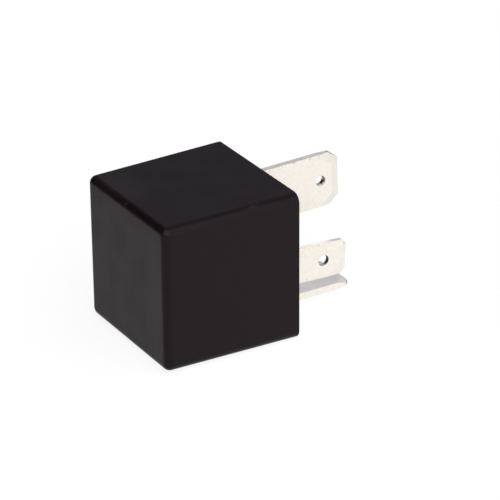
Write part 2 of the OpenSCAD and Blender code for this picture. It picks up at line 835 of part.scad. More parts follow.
// The leg is riveted to the yoke, the bend is cut by a window and the arm lies on the armature
module contact_spring() {
    outer_r = spring_bend_r + spring_t;
    arm = heel_x - contact_x + spring_nose_w;
    ahead = [-arm * cos(lift), arm * sin(lift)];
    steps = 12;
    taper_x = armature_end + spring_taper;
    color("#c98a52")
        laid_down()
            difference() {
                rotate([90, 0, 0])
                    linear_extrude(spring_w, center = true)
                        polygon(concat([[yoke_out, leg_bottom], [yoke_out + spring_t, leg_bottom]],
                                       [for (i = [0:steps]) bend_point(outer_r, i / steps)],
                                       [bend_point(outer_r, 1) + ahead],
                                       [bend_point(spring_bend_r, 1) + ahead],
                                       [for (i = [0:steps]) bend_point(spring_bend_r, 1 - i / steps)]));
                block([heel_x - spring_window_over, yoke_out + spring_t + cut],
                      [-spring_window_w / 2, spring_window_w / 2],
                      [yoke_top - spring_window_over, spring_bend_z + outer_r + cut]);
                for (y = [-rivet_pitch / 2, rivet_pitch / 2])
                    translate([0, y, leg_rivet_z])
                        rod_x(rivet_d + 2 * stake_fit, [yoke_out - cut, yoke_out + spring_t + cut]);
                opened() {
                    translate([0, 0, armature_top - cut])
                        linear_extrude(spring_t + 2 * cut)
                            difference() {
                                translate([contact_x - 2 * spring_nose_w, -spring_w])
                                    square([taper_x - contact_x + 2 * spring_nose_w, 2 * spring_w]);
                                polygon([[taper_x + cut, -spring_w / 2], [taper_x, -spring_w / 2],
                                         [contact_x, -spring_nose_w / 2],
                                         [contact_x, spring_nose_w / 2],
                                         [taper_x, spring_w / 2], [taper_x + cut, spring_w / 2]]);
                                translate([contact_x, 0])
                                    circle(d = spring_nose_w);
                            }
                    arm_rivet_places()
                        translate([0, 0, armature_top - cut])
                            cylinder(d = rivet_d + 2 * stake_fit, h = spring_t + 2 * cut);
                    translate([contact_x, 0, armature_top - cut])
                        cylinder(d = contact_shank_d + 2 * stake_fit, h = spring_t + 2 * cut);
                }
            }
}

module moving_contact() {
    color("#cfcfd2")
        laid_down()
            opened()
                translate([contact_x, 0, armature_top]) {
                    translate([0, 0, -contact_t])
                        cylinder(d = contact_d, h = contact_t);
                    translate([0, 0, -lap])
                        cylinder(d = contact_shank_d, h = spring_t + 2 * lap);
                    translate([0, 0, spring_t])
                        cylinder(d = contact_tail_d, h = contact_tail_t);
                }
}

module fixed_contact() {
    color("#cfcfd2")
        laid_down()
            translate([contact_x, 0, ledge_top]) {
                cylinder(d = contact_d, h = contact_t);
                translate([0, 0, -load_t - lap])
                    cylinder(d = contact_shank_d, h = load_t + 2 * lap);
                translate([0, 0, -load_t - contact_tail_t])
                    cylinder(d = contact_tail_d, h = contact_tail_t);
            }
}

// ---- Rivets ----

module terminal_rivet() {
    color("#b9a05c")
        laid_down()
            translate([0, flag_rivet_y, flag_rivet_z]) {
                rod_x(rivet_d, [yoke_in, yoke_out + load_t + lap]);
                rod_x(rivet_head_d, [yoke_out + load_t, yoke_out + load_t + rivet_head_t]);
            }
}

module spring_rivets() {
    color("#b9a05c")
        laid_down()
            for (y = [-rivet_pitch / 2, rivet_pitch / 2])
                translate([0, y, leg_rivet_z]) {
                    rod_x(rivet_d, [yoke_in, yoke_out + spring_t + lap]);
                    rod_x(rivet_head_d, [yoke_out + spring_t, yoke_out + spring_t + rivet_head_t]);
                }
}

module armature_rivets() {
    color("#b9a05c")
        laid_down()
            opened()
                arm_rivet_places() {
                    translate([0, 0, yoke_top])
                        cylinder(d = rivet_d, h = armature_t + spring_t + lap);
                    translate([0, 0, spring_top])
                        cylinder(d = rivet_head_d, h = rivet_head_t);
                }
}

cap();
base();
sealing_ring();
terminal_30();
terminal_87();
terminal_85();
terminal_86();
yoke();
core();
bobbin();
winding();
winding_tape();
coil_lead_85();
coil_lead_86();
resistor();
resistor_leads();
armature();
contact_spring();
moving_contact();
fixed_contact();
terminal_rivet();
spring_rivets();
armature_rivets();
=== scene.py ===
"""Looks of a closed plug-in power relay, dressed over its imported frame.

Lengths are in metres, apart from the places and radii of spots, which are in millimetres.
"""

import json
import math

import bpy
from mathutils import Matrix, Vector

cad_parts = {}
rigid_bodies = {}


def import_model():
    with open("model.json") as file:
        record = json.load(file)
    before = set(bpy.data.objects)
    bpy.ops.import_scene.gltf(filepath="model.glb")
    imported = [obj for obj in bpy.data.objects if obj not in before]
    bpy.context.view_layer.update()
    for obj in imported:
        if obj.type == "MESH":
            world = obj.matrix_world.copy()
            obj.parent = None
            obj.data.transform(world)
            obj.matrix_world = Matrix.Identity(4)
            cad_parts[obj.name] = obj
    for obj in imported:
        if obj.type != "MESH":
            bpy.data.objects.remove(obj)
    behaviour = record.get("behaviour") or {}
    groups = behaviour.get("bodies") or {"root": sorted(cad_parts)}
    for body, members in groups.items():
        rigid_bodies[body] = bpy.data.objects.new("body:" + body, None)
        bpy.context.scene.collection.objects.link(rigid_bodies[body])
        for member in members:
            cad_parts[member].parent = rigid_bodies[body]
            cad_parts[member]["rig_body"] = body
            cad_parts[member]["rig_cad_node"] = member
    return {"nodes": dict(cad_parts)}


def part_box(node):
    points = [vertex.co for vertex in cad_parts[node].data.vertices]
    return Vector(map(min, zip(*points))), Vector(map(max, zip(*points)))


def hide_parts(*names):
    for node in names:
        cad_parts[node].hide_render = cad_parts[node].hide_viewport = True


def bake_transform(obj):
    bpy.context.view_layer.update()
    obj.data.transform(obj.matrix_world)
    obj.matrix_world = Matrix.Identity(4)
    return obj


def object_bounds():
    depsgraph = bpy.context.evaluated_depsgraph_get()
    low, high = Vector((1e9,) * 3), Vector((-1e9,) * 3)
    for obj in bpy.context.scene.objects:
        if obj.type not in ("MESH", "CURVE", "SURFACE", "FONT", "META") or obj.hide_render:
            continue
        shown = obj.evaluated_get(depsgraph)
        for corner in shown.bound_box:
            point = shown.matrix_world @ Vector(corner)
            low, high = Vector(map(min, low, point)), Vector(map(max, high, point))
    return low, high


bpy.ops.wm.read_factory_settings(use_empty=True)
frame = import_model()
cad_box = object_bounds()
scene = bpy.context.scene
mm = 0.001


# ---- Cap ----
# One injection-moulded cover of black glass-filled polyamide, pushed over the base and sealed there.
# Its faces keep the mould's fine spark texture, and the rounded edges are smoother; their darker colour
# is a painted reflection of the dim room.
cap_lo, cap_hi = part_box("cap")
cap_draft = math.radians(0.86)
cap_round = 1.5 * mm
cap_black = (0.0084, 0.0056, 0.0063, 1)
# painted sheen on the closed end
cap_sheen = (0.0124, 0.0074, 0.0096, 1)
# painted dark reflection on the rounded edges
cap_edge_reflection = (0.0046, 0.0037, 0.0042, 1)
cap_dust = (0.030, 0.025, 0.023, 1)
cap_scuff = (0.022, 0.0110, 0.0100, 1)


def shader_group(name, inputs, outputs):
    """A node group with inputs of (name, default) and outputs of numbers; no default means a place."""
    tree = bpy.data.node_groups.new(name, "ShaderNodeTree")
    for label, value in inputs:
        kind = "NodeSocketVector" if value is None else "NodeSocketFloat"
        socket = tree.interface.new_socket(label, in_out="INPUT", socket_type=kind)
        if value is not None:
            socket.default_value = value
    for label in outputs:
        tree.interface.new_socket(label, in_out="OUTPUT", socket_type="NodeSocketFloat")
    return tree, tree.nodes.new("NodeGroupInput"), tree.nodes.new("NodeGroupOutput")


def wire(tree, source, target):
    """Links an output socket to an input socket."""
    tree.links.new(source, target)


def maths(tree, operation, a, b=None, c=None):
    """A Math node's result; each of a, b and c is a number or a socket."""
    node = tree.nodes.new("ShaderNodeMath")
    node.operation = operation
    for socket, value in zip(node.inputs, (a, b, c)):
        if isinstance(value, (int, float)):
            socket.default_value = value
        elif value is not None:
            wire(tree, value, socket)
    return node.outputs[0]


def product(tree, first, *others):
    """The product of masks and numbers."""
    for other in others:
        first = maths(tree, "MULTIPLY", first, other)
    return first


def strongest(tree, first, *others):
    """The highest of several masks."""
    for other in others:
        first = maths(tree, "MAXIMUM", first, other)
    return first


def vector_maths(tree, operation, vector):
    """A Vector Math node on a vector. Its other inputs are left to the caller."""
    node = tree.nodes.new("ShaderNodeVectorMath")
    node.operation = operation
    wire(tree, vector, node.inputs[0])
    return node


def split_axes(tree, vector):
    """A vector's X, Y and Z."""
    node = tree.nodes.new("ShaderNodeSeparateXYZ")
    wire(tree, vector, node.inputs[0])
    return node.outputs


def noise(tree, place, scale, detail=2.0, rough=0.5, stretch=(1, 1, 1)):
    """Noise from 0 to 1 with cells of about 1 / scale, drawn out along an axis by a stretch below 1."""
    mapping = tree.nodes.new("ShaderNodeMapping")
    mapping.inputs["Scale"].default_value = [s * scale for s in stretch]
    node = tree.nodes.new("ShaderNodeTexNoise")
    node.inputs["Scale"].default_value = 1.0
    node.inputs["Detail"].default_value = detail
    node.inputs["Roughness"].default_value = rough
    wire(tree, place, mapping.inputs["Vector"])
    wire(tree, mapping.outputs["Vector"], node.inputs["Vector"])
    return node.outputs["Fac"]


def ramp(tree, value, low, high, to_low=0.0, to_high=1.0):
    """value, taken smoothly from low..high to to_low..to_high."""
    node = tree.nodes.new("ShaderNodeMapRange")
    node.interpolation_type = "SMOOTHSTEP"
    for label, number in (("From Min", low), ("From Max", high),
                          ("To Min", to_low), ("To Max", to_high)):
        node.inputs[label].default_value = number
    wire(tree, value, node.inputs["Value"])
    return node.outputs["Result"]


def blend_colour(tree, share, low, high):
    """low where share is 0 and high where it is 1; each is a colour or a socket."""
    node = tree.nodes.new("ShaderNodeMix")
    node.data_type = "RGBA"
    for socket, value in ((node.inputs[0], share), (node.inputs[6], low), (node.inputs[7], high)):
        if isinstance(value, tuple):
            socket.default_value = value
        else:
            wire(tree, value, socket)
    return node.outputs[2]


def layered(tree, tone, layers):
    """A tone with colours laid over it in turn, each where its mask is 1."""
    for mask, colour in layers:
        tone = blend_colour(tree, mask, tone, colour)
    return tone


def material(name, metallic=0.0, specular=0.5, **sockets):
    """A new material with its Principled shader, and the place on the object as texture input."""
    made = bpy.data.materials.new(name)
    made.use_nodes = True
    tree = made.node_tree
    shader = tree.nodes["Principled BSDF"]
    shader.inputs["Metallic"].default_value = metallic
    shader.inputs["Specular IOR Level"].default_value = specular
    for label, value in sockets.items():
        shader.inputs[label.replace("_", " ")].default_value = value
    place = tree.nodes.new("ShaderNodeTexCoord").outputs["Object"]
    return made, tree, shader, place


def raise_surface(tree, shader, height, depth):
    """Feeds a height from 0 to 1 to the shader as a bump that deep, in metres."""
    node = tree.nodes.new("ShaderNodeBump")
    node.inputs["Distance"].default_value = depth
    wire(tree, height, node.inputs["Height"])
    wire(tree, node.outputs["Normal"], shader.inputs["Normal"])


def use(group, tree, place, **values):
    """Puts a node group in a material and returns the node."""
    node = tree.nodes.new("ShaderNodeGroup")
    node.node_tree = group
    wire(tree, place, node.inputs["Place"])
    for label, value in values.items():
        node.inputs[label.replace("_", " ")].default_value = value
    return node


def in_cells(tree, place, size):
    """A place counted in cells of the size that a socket gives."""
    node = vector_maths(tree, "SCALE", place)
    wire(tree, maths(tree, "DIVIDE", 1.0, size), node.inputs["Scale"])
    return node.outputs["Vector"]


def grain_group():
    """Moulded or rolled grain at one size, with a broad unevenness over it."""
    tree, given, out = shader_group(
        "surface_grain", [("Place", None), ("Grain Size", 0.2 * mm), ("Patch Size", 4 * mm)],
        ["Grain", "Patches"])
    for label, size, detail in (("Grain", "Grain Size", 3.0), ("Patches", "Patch Size", 2.0)):
        scaled = in_cells(tree, given.outputs["Place"], given.outputs[size])
        wire(tree, noise(tree, scaled, 1.0, detail), out.inputs[label])
    return tree


def specks_group():
    """Sparse round specks, such as dust or pits, in cells of the given size."""
    tree, given, out = shader_group(
        "specks", [("Place", None), ("Cell", 2 * mm), ("Radius", 0.05), ("Share", 0.2)], ["Specks"])
    cells = tree.nodes.new("ShaderNodeTexVoronoi")
    cells.inputs["Scale"].default_value = 1.0
    wire(tree, in_cells(tree, given.outputs["Place"], given.outputs["Cell"]), cells.inputs["Vector"])
    near = maths(tree, "LESS_THAN", cells.outputs["Distance"], given.outputs["Radius"])
    picked = tree.nodes.new("ShaderNodeSeparateColor")
    wire(tree, cells.outputs["Color"], picked.inputs[0])
    chosen = maths(tree, "LESS_THAN", picked.outputs[0], given.outputs["Share"])
    wire(tree, product(tree, near, chosen), out.inputs["Specks"])
    return tree


surface_grain = grain_group()
specks = specks_group()


def finish_node(node, made):
    """Gives a CAD node its material."""
    mesh = frame["nodes"][node].data
    mesh.materials.clear()
    mesh.materials.append(made)


def cap_edges(tree, place):
    """1 in the middle of the cap's rounded edges and 0 on its faces, from the place alone."""
    axes = split_axes(tree, place)
    near = [ramp(tree, maths(tree, "SUBTRACT", axes[0], cap_lo[0]), 0.0, cap_round, 1.0, 0.0)]
    for axis in (1, 2):
        half_width = (cap_hi[axis] - cap_lo[axis]) / 2
        wall = maths(tree, "MULTIPLY_ADD", axes[0], math.tan(cap_draft), half_width)
        gap = maths(tree, "SUBTRACT", wall, maths(tree, "ABSOLUTE", axes[axis]))
        near.append(ramp(tree, gap, 0.0, cap_round, 1.0, 0.0))
    return strongest(tree, *[product(tree, near[i], near[j]) for i, j in ((0, 1), (0, 2), (1, 2))])


def spot(tree, place, centre, radii):
    """1 at centre, falling to 0 on an ellipsoid round it; both in millimetres."""
    away = tree.nodes.new("ShaderNodeMapping")
    away.inputs["Location"].default_value = [-c / r for c, r in zip(centre, radii)]
    away.inputs["Scale"].default_value = [1 / (r * mm) for r in radii]
    wire(tree, place, away.inputs["Vector"])
    length = vector_maths(tree, "LENGTH", away.outputs["Vector"]).outputs["Value"]
    return ramp(tree, length, 0.2, 1.0, 1.0, 0.0)


def cap_mark(tree, place, from_end, across, below_top, radii):
    """A spot on the cap, placed from its closed end, its middle and its upper side in millimetres."""
    return spot(tree, place, (cap_lo[0] / mm + from_end, across, cap_hi[2] / mm - below_top), radii)


def cap_plastic():
    """Black plastic with dust, a paler patch on top, a few marks on the edges, painted sheen streaks on
    the closed end and painted dark reflections on the rounded edges.
    """
    made, tree, shader, place = material("cap_plastic", specular=0.10)
    grain = use(surface_grain, tree, place, Grain_Size=0.16 * mm, Patch_Size=6 * mm)
    dust = use(specks, tree, place, Cell=2.1 * mm, Radius=0.045, Share=0.16)
    edges = cap_edges(tree, place)
    along = split_axes(tree, place)[0]
    end_face = ramp(tree, along, cap_lo[0] + 0.3 * mm, cap_lo[0] + 1.2 * mm, 1.0, 0.0)
    # painted sheen: soft vertical streaks on the closed end
    sheen_streaks = noise(tree, place, 260, stretch=(1, 1, 0.12))
    # a paler patch on the upper side near the closed end, in the dust's colour
    pale_top_patch = cap_mark(tree, place, 2.1, 6.0, 0.0, (6, 10, 1.5))
    nick = cap_mark(tree, place, 0.4, 0.1, 1.0, (0.9, 0.32, 0.8))
    smear = cap_mark(tree, place, 0.0, -9.5, 14.0, (2, 5, 16))
    rubbed = strongest(tree, cap_mark(tree, place, 16.3, -12.3, 0.15, (1.4, 0.6, 0.55)),
                       cap_mark(tree, place, 0.5, -12.1, 0.9, (0.5, 0.5, 0.5)))
    scuffed = product(tree, rubbed, ramp(tree, grain.outputs["Grain"], 0.3, 0.6, 0.2, 1.0))
    tone = layered(tree, cap_black, (
        # painted sheen streaks, lighter, on the closed end
        (product(tree, ramp(tree, sheen_streaks, 0.3, 0.7), end_face), cap_sheen),
        # painted dark reflection on the rounded edges
        (edges, cap_edge_reflection),
        (product(tree, pale_top_patch, 0.25), cap_dust),
        (dust.outputs["Specks"], cap_dust),
        (product(tree, nick, 0.5), cap_dust),
        (scuffed, cap_scuff)))
    wire(tree, tone, shader.inputs["Base Color"])
    rough = ramp(tree, grain.outputs["Patches"], 0.3, 0.7, 0.41, 0.46)
    for mask, change in ((edges, -0.20), (smear, -0.06), (rubbed, 0.20)):
        rough = maths(tree, "MULTIPLY_ADD", mask, change, rough)
    wire(tree, rough, shader.inputs["Roughness"])
    dented = maths(tree, "MULTIPLY_ADD", nick, -8.0, grain.outputs["Grain"])
    raise_surface(tree, shader, dented, 0.004 * mm)
    return made


finish_node("cap", cap_plastic())


# ---- Base and seal ----
# The base is a glass-filled moulding, matt and a little greyer than the cap. Black epoxy is poured
# round it to close the relay, and sets with a glossy skin that creeps up the walls.
def edge_rounds(node, width, steps=2):
    """Rounds a CAD node's sharp edges with modifiers, as tumbling or a mould's own edge does."""
    piece = frame["nodes"][node]
    weld = piece.modifiers.new("weld", "WELD")
    weld.merge_threshold = 0.002 * mm
    flat = piece.modifiers.new("flat", "DECIMATE")
    flat.decimate_type = "DISSOLVE"
    flat.angle_limit = math.radians(0.5)
    bevel = piece.modifiers.new("rounds", "BEVEL")
    bevel.width = width
    bevel.segments = steps
    bevel.limit_method = "ANGLE"
    bevel.angle_limit = math.radians(28)
    bevel.use_clamp_overlap = True
    bevel.harden_normals = True


def grained_finish(name, dark, pale, grain_size, patch_size, depth, rough, rough_by="Grain", **values):
    """Two colours in patches, with a grain as deep as depth. The roughness follows rough_by."""
    made, tree, shader, place = material(name, **values)
    grain = use(surface_grain, tree, place, Grain_Size=grain_size, Patch_Size=patch_size)
    tone = blend_colour(tree, grain.outputs["Patches"], dark, pale)
    wire(tree, tone, shader.inputs["Base Color"])
    wire(tree, ramp(tree, grain.outputs[rough_by], 0.3, 0.7, *rough), shader.inputs["Roughness"])
    raise_surface(tree, shader, grain.outputs["Grain"], depth)
    return made


def sealing_resin():
    """Glossy epoxy with a wavy skin and a few pits."""
    made, tree, shader, place = material("sealing_resin")
    grain = use(surface_grain, tree, place, Grain_Size=0.9 * mm, Patch_Size=4 * mm)
    pits = use(specks, tree, place, Cell=1.3 * mm, Radius=0.10, Share=0.3)
    patches = grain.outputs["Patches"]
    tone = blend_colour(tree, patches, (0.006, 0.006, 0.007, 1), (0.014, 0.013, 0.014, 1))
    wire(tree, tone, shader.inputs["Base Color"])
    wire(tree, ramp(tree, patches, 0.3, 0.7, 0.12, 0.26), shader.inputs["Roughness"])
    wavy = maths(tree, "SUBTRACT", grain.outputs["Grain"], pits.outputs["Specks"])
    raise_surface(tree, shader, wavy, 0.05 * mm)
    return made


base_plastic = grained_finish(
    "base_plastic", dark=(0.012, 0.011, 0.011, 1), pale=(0.020, 0.018, 0.018, 1),
    grain_size=0.25 * mm, patch_size=3 * mm, depth=0.012 * mm, rough=(0.48, 0.60), specular=0.35)
finish_node("base", base_plastic)
finish_node("sealing_ring", sealing_resin())
edge_rounds("base", 0.06 * mm)


# ---- Blades ----
# Four flat tabs blanked from brass strip, tinned matt and set in the base's slots. The press leaves
# rolled-over edges, a coined bevel at each tip and a punched hole, and handling leaves faint stains.
blade_nodes = ("terminal_30", "terminal_87", "terminal_85", "terminal_86")
load_blade_w = 9.5 * mm
blade_30_len = 15.4 * mm
blade_30_z = 7.3 * mm
blade_30_lean = math.radians(1.7)
corner_30_len = 1.6 * mm
corner_30_w = 1.3 * mm
hole_30_from_tip = 3.5 * mm
coil_blade_w = 6.3 * mm
coil_blade_z = -2.05 * mm
coil_blade_lean = math.radians(-2.4)
tin_pale = (0.908, 0.868, 0.802, 1)
tin_warm = (0.868, 0.820, 0.746, 1)
tin_coined = (0.770, 0.745, 0.675, 1)
tin_cut = (0.68, 0.69, 0.70, 1)
# painted light: a brighter tin for the level faces of blade 87 and of the coil blades' upper edges
tin_painted_light = (0.98, 0.96, 0.94, 1)
# the dark of bare cut metal, also laid on as painted shade
cut_and_shade_dark = (0.20, 0.17, 0.15, 1)
stain_brown = (0.36, 0.24, 0.15, 1)
lean_30 = Matrix.Rotation(-blade_30_lean, 3, "Y")


def upper_edge(tree, place, top, lean):
    """1 just under the upper edge of a blade, which leaves the base at top and leans, then 0."""
    along, _, height = split_axes(tree, place)
    edge = maths(tree, "MULTIPLY_ADD", along, math.tan(lean), top)
    below = maths(tree, "SUBTRACT", edge, height)
    near = ramp(tree, below, 0.25 * mm, 0.8 * mm, 1.0, 0.0)
    return product(tree, near, maths(tree, "GREATER_THAN", below, -0.05 * mm))


def distance_along(tree, place, direction):
    """How far a place lies along a fixed direction."""
    node = vector_maths(tree, "DOT_PRODUCT", place)
    node.inputs[1].default_value = direction
    return node.outputs["Value"]


def corner_line(tree, place):
    """1 along the upper snipped corner of blade 30 and 0 away from it."""
    corner = lean_30 @ Vector((blade_30_len - corner_30_len, 0, load_blade_w / 2))
    corner.z += blade_30_z
    outward = lean_30 @ Vector((corner_30_w, 0, corner_30_len)).normalized()
    inside = maths(tree, "SUBTRACT", outward.dot(corner), distance_along(tree, place, outward))
    return ramp(tree, inside, 0.16 * mm, 0.34 * mm, 1.0, 0.0)


def roll_hole(tree, shader, place):
    """Turns the wall of blade 30's hole towards its front face, as the punch rolls it over."""
    hole = lean_30 @ Vector((blade_30_len - hole_30_from_tip, 0, 0))
    hole.z += blade_30_z
    near = spot(tree, place, hole / mm, (4.5, 4.5, 4.5))
    front = ramp(tree, split_axes(tree, place)[1], -0.5 * mm, -0.1 * mm, 0.85, 0.0)
    turned = tree.nodes.new("ShaderNodeMix")
    turned.data_type = "VECTOR"
    wire(tree, product(tree, near, front), turned.inputs[0])
    wire(tree, tree.nodes.new("ShaderNodeNewGeometry").outputs["Normal"], turned.inputs[4])
    turned.inputs[5].default_value = (0, -1, 0)
    bump = shader.inputs["Normal"].links[0].from_node
    wire(tree, turned.outputs[1], bump.inputs["Normal"])


def tinned_metal(name):
    """Matt tin on a blanked strip. The coined bevels and the sheared edges are told by their tilt."""
    made, tree, shader, place = material(name, metallic=1.0)
    grain = use(surface_grain, tree, place, Grain_Size=0.14 * mm, Patch_Size=0.5 * mm)
    patches = grain.outputs["Patches"]
    blotch = use(specks, tree, place, Cell=1.3 * mm, Radius=0.10, Share=0.22)
    drawn_lines = noise(tree, place, 9000, rough=0.6, stretch=(0.06, 1, 1))
    along, _, height = split_axes(tree, place)

    # What the press did, from the way that the surface faces
    faces = tree.nodes.new("ShaderNodeTexCoord").outputs["Normal"]
    outward, sideways, upward = split_axes(tree, faces)
    up = maths(tree, "ABSOLUTE", upward)
    square = strongest(tree, maths(tree, "ABSOLUTE", sideways), up)
    coined = ramp(tree, square, 0.95, 0.995, 1.0, 0.0)
    rolled = ramp(tree, square, 0.74, 0.93, 1.0, 0.0)
    level = ramp(tree, up, 0.75, 0.95)
    hole_wall = ramp(tree, outward, -0.6, -0.2, 1.0, 0.0)
    sheared = ramp(tree, outward, 0.35, 0.6)
    # painted shade along blade 30's upper snipped corner, stronger towards the top
    snipped = product(tree, corner_line(tree, place),
                      ramp(tree, height, 11.3 * mm, 12.3 * mm, 0.1, 0.5))

    # Brown stains where the tin is thin, on the rolled edges and in a few blotches
    handled = strongest(tree, upper_edge(tree, place, blade_30_z + load_blade_w / 2, blade_30_lean),
                        upper_edge(tree, place, coil_blade_z + coil_blade_w / 2, coil_blade_lean))
    thin_tin = product(tree, handled, ramp(tree, noise(tree, place, 2600, 3.0, 0.6), 0.52, 0.66))
    grime = strongest(tree, blotch.outputs["Specks"], rolled, thin_tin)
    stained = product(tree, grime, ramp(tree, patches, 0.35, 0.65, 0.08, 0.5))

    # Painted light: blade 87 and the coil blades' upper edges are painted brighter towards the root,
    # and painted shade darkens the coil blades' lower half where it faces up or down, as on the floor
    # of their holes
    on_blade_87 = ramp(tree, height, -9 * mm, -8 * mm, 1.0, 0.0)
    painted_light_87 = product(tree, on_blade_87, ramp(tree, along, 6 * mm, 15.5 * mm, 1.0, 0.0))
    painted_light_coil_edges = product(tree, ramp(tree, height, 0.2 * mm, 0.5 * mm),
                        ramp(tree, height, 1.6 * mm, 2.2 * mm, 1.0, 0.0),
                        ramp(tree, along, 7.6 * mm, 9.2 * mm, 1.0, 0.0))
    coil_low_painted_shade = maths(tree, "SUBTRACT", ramp(tree, height, -0.5 * mm, 0.0, 1.0, 0.0), on_blade_87)

    # Painted shade at the upper corner of blade 30's tip, and a darker patch at the upper corner of
    # blade 85's tip
    shade_30_corner = spot(tree, place, (14.2, -0.6, 11.4), (2.4, 1.5, 1.4))
    tip_dark_85 = strongest(tree, spot(tree, place, (10.3, -8.4, 0.75), (1.9, 1.0, 0.35)),
                        spot(tree, place, (11.5, -8.6, -0.25), (0.5, 0.6, 0.5)))

    tone = blend_colour(tree, ramp(tree, patches, 0.3, 0.7), tin_pale, tin_warm)
    tone = layered(tree, tone, (
        (coined, tin_coined),
        (product(tree, level, 0.5), tin_cut),
        (stained, stain_brown),
        # painted light towards the roots of blade 87 and of the coil blades' upper edges
        (product(tree, level, strongest(tree, painted_light_87, painted_light_coil_edges)), tin_painted_light),
        # painted shade on the coil blades' lower half where it faces up or down
        (product(tree, level, coil_low_painted_shade, 0.25), cut_and_shade_dark),
        # painted shade at the upper corner of blade 30's tip
        (product(tree, shade_30_corner, 0.10), cut_and_shade_dark),
        # darker at the upper corner of blade 85's tip
        (product(tree, tip_dark_85, 0.30), cut_and_shade_dark),
        (snipped, cut_and_shade_dark),
        (product(tree, hole_wall, ramp(tree, height, 4 * mm, 5 * mm, 1.0, 0.5)), cut_and_shade_dark),
        (sheared, cut_and_shade_dark)))
    wire(tree, tone, shader.inputs["Base Color"])
    rough = maths(tree, "MULTIPLY_ADD", level, 0.32, ramp(tree, drawn_lines, 0.3, 0.7, 0.38, 0.50))
    wire(tree, rough, shader.inputs["Roughness"])
    raise_surface(tree, shader, maths(tree, "ADD", drawn_lines, grain.outputs["Grain"]), 0.003 * mm)
    roll_hole(tree, shader, place)
    return made


tinned = tinned_metal("tinned_copper_alloy")
for blade in blade_nodes:
    finish_node(blade, tinned)
    edge_rounds(blade, 0.07 * mm, 3)


# ---- Magnet ----
# The yoke is bent from soft iron strip, the core is turned and staked into its foot, and the
# armature is blanked from the same strip. All three are zinc plated.
plated_steel = grained_finish(
    "plated_steel", dark=(0.52, 0.54, 0.56, 1), pale=(0.68, 0.69, 0.69, 1),
    grain_size=0.3 * mm, patch_size=3 * mm, depth=0.006 * mm, rough=(0.30, 0.44), metallic=1.0)
for part in ("yoke", "core", "armature"):
    finish_node(part, plated_steel)
    edge_rounds(part, 0.08 * mm)


# ---- Bobbin and coil ----
# The bobbin is a natural-coloured moulding with the stop for the armature on top. Its winding is
# fine enamelled copper under two turns of amber tape, and both ends of the wire go to the blades.
ridge_pitch = 1.0053 * mm
bobbin_plastic = grained_finish(
    "bobbin_plastic", dark=(0.66, 0.60, 0.46, 1), pale=(0.72, 0.67, 0.54, 1),
    grain_size=0.25 * mm, patch_size=4 * mm, depth=0.008 * mm, rough=(0.40, 0.52),
    Subsurface_Weight=0.1)
coil_tape = grained_finish(
    "coil_tape", dark=(0.52, 0.30, 0.045, 1), pale=(0.66, 0.42, 0.09, 1),
    grain_size=0.8 * mm, patch_size=3 * mm, depth=0.02 * mm, rough=(0.22, 0.36),
    rough_by="Patches", Coat_Weight=0.5, Coat_Roughness=0.15)


def enamelled_wire():
    """Turns lie side by side along X. They are drawn as ridges, each as wide as several wires."""
    made, tree, shader, place = material("enamelled_wire", metallic=1.0, Coat_Weight=0.6)
    turns = tree.nodes.new("ShaderNodeTexWave")
    turns.wave_type = "BANDS"
    turns.bands_direction = "X"
    turns.wave_profile = "SIN"
    pitch_at_scale_1 = math.tau / 20
    turns.inputs["Scale"].default_value = pitch_at_scale_1 / ridge_pitch
    wire(tree, place, turns.inputs["Vector"])
    grain = use(surface_grain, tree, place, Grain_Size=0.5 * mm, Patch_Size=3 * mm)
    lit = product(tree, turns.outputs["Fac"], grain.outputs["Patches"])
    tone = blend_colour(tree, lit, (0.30, 0.09, 0.035, 1), (0.80, 0.32, 0.13, 1))
    wire(tree, tone, shader.inputs["Base Color"])
    wire(tree, ramp(tree, grain.outputs["Grain"], 0.3, 0.7, 0.22, 0.34), shader.inputs["Roughness"])
    raise_surface(tree, shader, turns.outputs["Fac"], 0.04 * mm)
    return made


enamelled = enamelled_wire()
finish_node("bobbin", bobbin_plastic)
edge_rounds("bobbin", 0.08 * mm)
for part in ("winding", "coil_lead_85", "coil_lead_86"):
    finish_node(part, enamelled)
finish_node("winding_tape", coil_tape)


# ---- Resistor ----
# A small film resistor across the coil, which takes up the spike when the coil is switched off. Its
# body is lacquered blue, and its tinned leads are welded to the arms of the coil blades.
resistor_body = grained_finish(
    "resistor_body", dark=(0.09, 0.24, 0.38, 1), pale=(0.13, 0.32, 0.48, 1),
    grain_size=0.3 * mm, patch_size=1.5 * mm, depth=0.01 * mm, rough=(0.3, 0.42),
    Coat_Weight=0.5, Coat_Roughness=0.1)
finish_node("resistor", resistor_body)
finish_node("resistor_leads", tinned_metal("tinned_wire"))


# ---- Contacts and rivets ----
# Silver-tin-oxide contact rivets, dull and slightly yellowed, and plain brass rivets with rolled
# heads that hold the spring and blade 30 to the iron.
contact_silver = grained_finish(
    "contact_silver", dark=(0.62, 0.60, 0.56, 1), pale=(0.80, 0.78, 0.74, 1),
    grain_size=0.2 * mm, patch_size=1.2 * mm, depth=0.008 * mm, rough=(0.32, 0.5), metallic=1.0)
rivet_brass = grained_finish(
    "rivet_brass", dark=(0.62, 0.45, 0.18, 1), pale=(0.78, 0.60, 0.28, 1),
    grain_size=0.25 * mm, patch_size=1.5 * mm, depth=0.006 * mm, rough=(0.24, 0.38), metallic=1.0)
for part in ("moving_contact", "fixed_contact"):
    finish_node(part, contact_silver)
    edge_rounds(part, 0.15 * mm, 3)
for part in ("terminal_rivet", "spring_rivets", "armature_rivets"):
    finish_node(part, rivet_brass)
    edge_rounds(part, 0.15 * mm, 3)


